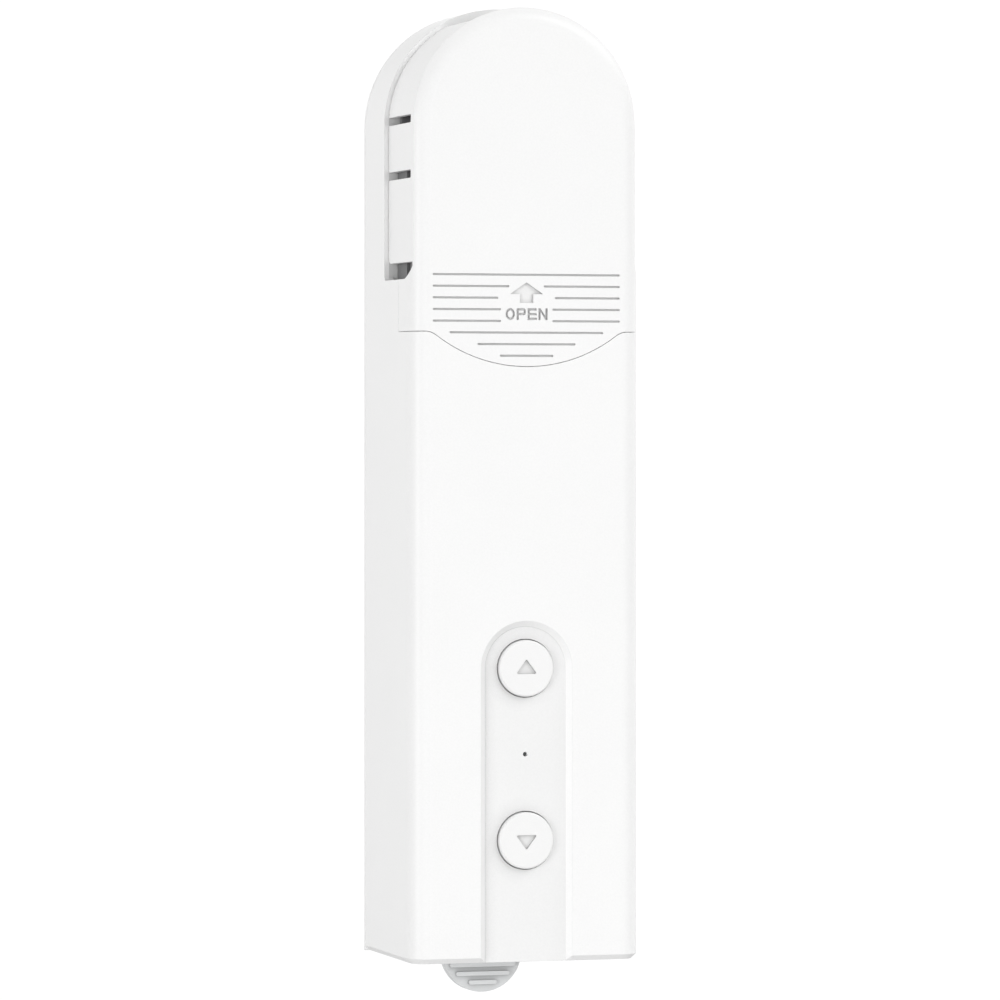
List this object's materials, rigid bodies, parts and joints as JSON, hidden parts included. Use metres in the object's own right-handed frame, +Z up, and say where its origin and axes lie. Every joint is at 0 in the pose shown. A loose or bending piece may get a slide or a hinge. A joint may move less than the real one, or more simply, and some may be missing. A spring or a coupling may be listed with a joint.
{
  "type": "roller shade motor",
  "caption": "Slim wall-mounted motor that turns a roller shade's bead chain, with a slide-off top cover, two buttons and a chain-tensioning wall bracket.",
  "frame": {"origin": "on the wall plane, at the middle of the bracket’s back face, halfway between its two screw holes", "axes": "+Z up, the front faces -Y, +Y into the wall, +X to the right seen from the front"},
  "size_m": [0.044, 0.033, 0.1836],
  "materials": {
    "white_plastic": "fine moulded texture",
    "grey_plastic": "fine moulded texture",
    "frame_plastic": "grey glass-filled nylon",
    "white_acetal": "moulded acetal",
    "steel": "turned or stamped",
    "zinc_screws": "bright zinc plate",
    "spring_steel": "blued spring strip",
    "bronze": "sintered, oiled",
    "brass": "cut",
    "black_plastic": "moulded",
    "board_green": "solder mask",
    "tin_plate": "tinned",
    "nickel_strip": "nickel",
    "cell_wrap": "shrink wrap over a cell",
    "foam": "closed-cell foam",
    "clear_plastic": "polished clear",
    "led_resin": "clear resin",
    "lead_insulation": "soft insulation"
  },
  "bodies": {
    "bracket": {"wall_bracket": "grey_plastic", "latch_pin": "steel", "latch_spring": "spring_steel"},
    "housing": {"main_housing": "white_plastic", "back_cover": "white_plastic", "back_cover_screws": "zinc_screws", "chain_frame": "frame_plastic", "frame_screws": "zinc_screws", "gear_plate": "frame_plastic", "gear_plate_screws": "zinc_screws", "axle_bush_front": "bronze", "axle_bush_rear": "bronze", "worm_bush_lower": "bronze", "worm_bush_upper": "bronze", "motor_can": "steel", "motor_end_cap": "black_plastic", "motor_terminals": "tin_plate", "motor_leads": "lead_insulation", "motor_mount": "frame_plastic", "mount_screws": "zinc_screws", "motor_screws": "zinc_screws", "control_board": "board_green", "board_screws": "zinc_screws", "radio_module": "tin_plate", "board_chips": "black_plastic", "indicator_led": "led_resin", "light_pipe": "clear_plastic", "usb_socket_shell": "tin_plate", "usb_socket_tongue": "black_plastic", "battery_cell": "cell_wrap", "battery_tabs": "nickel_strip", "battery_pad": "foam", "up_switch": "black_plastic", "down_switch": "black_plastic"},
    "cover": {"top_cover": "white_plastic"},
    "latch": {"release_latch": "grey_plastic"},
    "up_button": {"up_button": "white_plastic", "up_switch_stem": "black_plastic"},
    "down_button": {"down_button": "white_plastic", "down_switch_stem": "black_plastic"},
    "sprocket": {"sprocket": "white_acetal", "sprocket_screw": "zinc_screws", "drive_axle": "steel", "axle_clip": "spring_steel", "worm_wheel": "white_acetal"},
    "worm": {"worm": "steel", "worm_spur_gear": "white_acetal"},
    "motor_shaft": {"motor_shaft": "steel", "motor_pinion": "brass"}
  },
  "joints": [
    {"name": "tension_slide", "type": "slide", "parent": "bracket", "child": "housing", "axis": [0, 0, 1], "range_m": [0, 0.012]},
    {"name": "release_press", "type": "hinge", "parent": "bracket", "child": "latch", "pos_m": [0, -0.0018, -0.04175], "axis": [1, 0, 0], "range_deg": [0, 2], "stiffness_Nm_per_rad": 3, "springref_deg": -0.69, "deforming": ["latch_spring"]},
    {"name": "cover_slide", "type": "slide", "parent": "housing", "child": "cover", "axis": [0, 0, 1], "range_m": [0, 0.068]},
    {"name": "up_button_press", "type": "slide", "parent": "housing", "child": "up_button", "axis": [0, 1, 0], "range_m": [0, 0.0005], "stiffness_N_per_m": 2000, "springref_m": -0.0002},
    {"name": "down_button_press", "type": "slide", "parent": "housing", "child": "down_button", "axis": [0, 1, 0], "range_m": [0, 0.0005], "stiffness_N_per_m": 2000, "springref_m": -0.0002},
    {"name": "sprocket_spin", "type": "hinge", "parent": "housing", "child": "sprocket", "pos_m": [0, -0.02325, 0.06575], "axis": [0, 1, 0], "continuous": true},
    {"name": "worm_spin", "type": "hinge", "parent": "housing", "child": "worm", "pos_m": [0.0103, -0.0117, 0.06575], "axis": [0, 0, 1], "continuous": true},
    {"name": "motor_spin", "type": "hinge", "parent": "housing", "child": "motor_shaft", "pos_m": [0.00573, -0.017, 0.02775], "axis": [0, 0, 1], "continuous": true}
  ],
  "couplings": [
    {"joint": "worm_spin", "follows": "sprocket_spin", "ratio": 30},
    {"joint": "motor_spin", "follows": "sprocket_spin", "ratio": -54}
  ]
}
